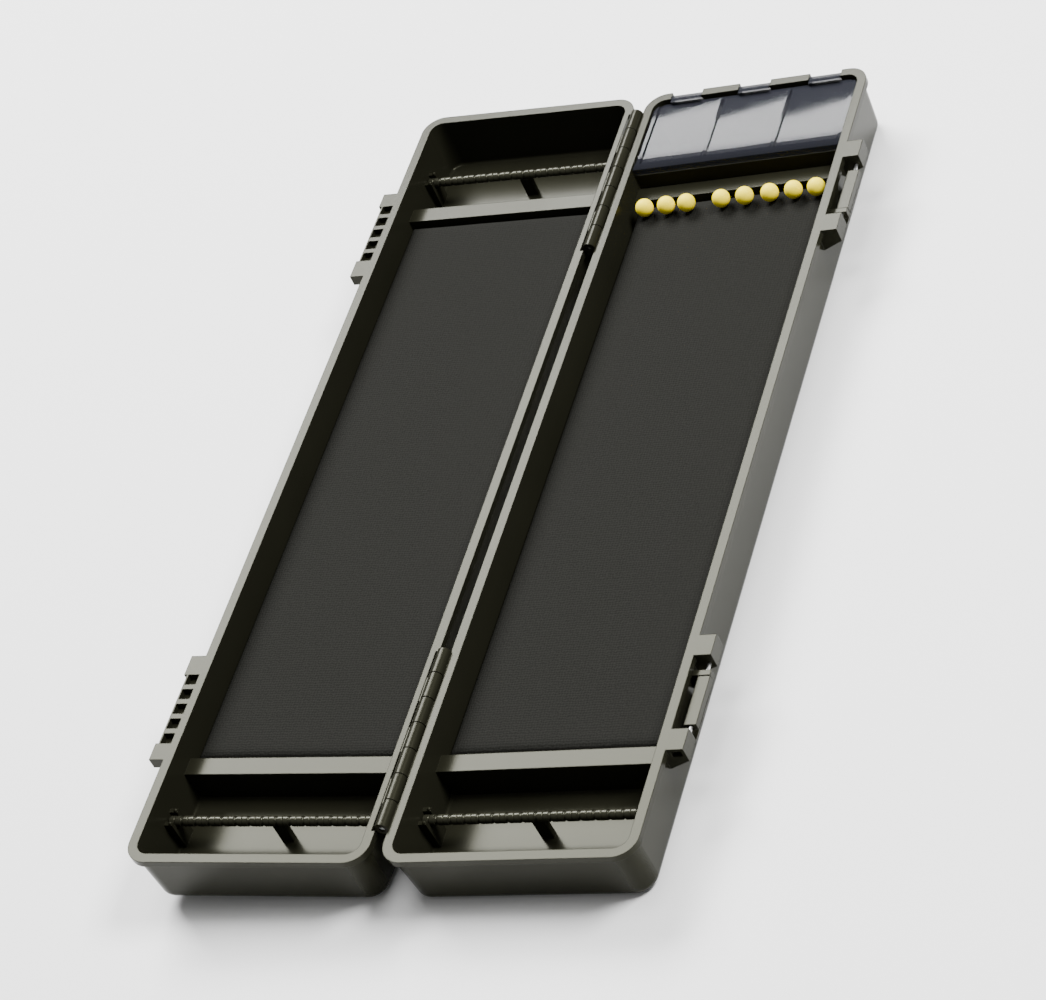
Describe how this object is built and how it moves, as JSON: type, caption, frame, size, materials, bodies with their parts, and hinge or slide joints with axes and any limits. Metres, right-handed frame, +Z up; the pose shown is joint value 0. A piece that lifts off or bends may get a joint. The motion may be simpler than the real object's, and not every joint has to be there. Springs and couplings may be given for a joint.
{
  "type": "carp rig box",
  "caption": "Hinged two-tray carp rig box, lying open: foam pads, grooved rig rods, ball-headed pins, two flip latches and a clear compartment lid.",
  "frame": {"origin": "on the table under the main hinge line, half way along the box", "axes": "+Z up, +X from the hinge line over the base tray, +Y along the hinge line towards the compartment end"},
  "size_m": [0.1913, 0.35, 0.0272],
  "materials": {
    "shell": "satin dark olive moulding",
    "foam": "dark charcoal foam, matt",
    "rod": "satin",
    "steel": "bright drawn wire",
    "clip": "satin dark olive moulding",
    "smoke": "smoke-tinted clear plastic",
    "yellow": "gloss yellow bead"
  },
  "bodies": {
    "base": {"base_shell": "shell", "base_foam": "foam", "base_rod": "rod", "hinge_pin_near": "steel", "hinge_pin_far": "steel", "latch_pin_near": "steel", "latch_pin_far": "steel", "clear_lid_pin": "steel"},
    "lid": {"lid_shell": "shell", "lid_foam": "foam", "lid_rod_near": "rod", "lid_rod_far": "rod"},
    "near_clip": {"latch_clip_near": "clip"},
    "far_clip": {"latch_clip_far": "clip"},
    "compartment_lid": {"clear_lid": "smoke"},
    "rig_pin_1": {"pin_ball_1": "yellow", "pin_shaft_1": "steel"},
    "rig_pin_2": {"pin_ball_2": "yellow", "pin_shaft_2": "steel"},
    "rig_pin_3": {"pin_ball_3": "yellow", "pin_shaft_3": "steel"},
    "rig_pin_4": {"pin_ball_4": "yellow", "pin_shaft_4": "steel"},
    "rig_pin_5": {"pin_ball_5": "yellow", "pin_shaft_5": "steel"},
    "rig_pin_6": {"pin_ball_6": "yellow", "pin_shaft_6": "steel"},
    "rig_pin_7": {"pin_ball_7": "yellow", "pin_shaft_7": "steel"},
    "rig_pin_8": {"pin_ball_8": "yellow", "pin_shaft_8": "steel"}
  },
  "joints": [
    {"name": "lid_hinge", "type": "hinge", "parent": "base", "child": "lid", "pos_m": [0, 0, 0.0231], "axis": [0, -1, 0], "range_deg": [-177.5, 0]},
    {"name": "near_latch", "type": "hinge", "parent": "base", "child": "near_clip", "pos_m": [0.09367, -0.1135, 0.0186], "axis": [0, 1, 0], "range_deg": [-195, 0]},
    {"name": "far_latch", "type": "hinge", "parent": "base", "child": "far_clip", "pos_m": [0.09367, 0.1135, 0.0186], "axis": [0, 1, 0], "range_deg": [-195, 0]},
    {"name": "compartment_lid_hinge", "type": "hinge", "parent": "base", "child": "compartment_lid", "pos_m": [0.046, 0.1729, 0.0216], "axis": [-1, 0, 0], "range_deg": [0, 110]},
    {"name": "pin_1_pull", "type": "slide", "parent": "base", "child": "rig_pin_1", "axis": [0, 0, 1], "range_m": [0, 0.025]},
    {"name": "pin_2_pull", "type": "slide", "parent": "base", "child": "rig_pin_2", "axis": [0, 0, 1], "range_m": [0, 0.025]},
    {"name": "pin_3_pull", "type": "slide", "parent": "base", "child": "rig_pin_3", "axis": [0, 0, 1], "range_m": [0, 0.025]},
    {"name": "pin_4_pull", "type": "slide", "parent": "base", "child": "rig_pin_4", "axis": [0, 0, 1], "range_m": [0, 0.025]},
    {"name": "pin_5_pull", "type": "slide", "parent": "base", "child": "rig_pin_5", "axis": [0, 0, 1], "range_m": [0, 0.025]},
    {"name": "pin_6_pull", "type": "slide", "parent": "base", "child": "rig_pin_6", "axis": [0, 0, 1], "range_m": [0, 0.025]},
    {"name": "pin_7_pull", "type": "slide", "parent": "base", "child": "rig_pin_7", "axis": [0, 0, 1], "range_m": [0, 0.025]},
    {"name": "pin_8_pull", "type": "slide", "parent": "base", "child": "rig_pin_8", "axis": [0, 0, 1], "range_m": [0, 0.025]}
  ]
}
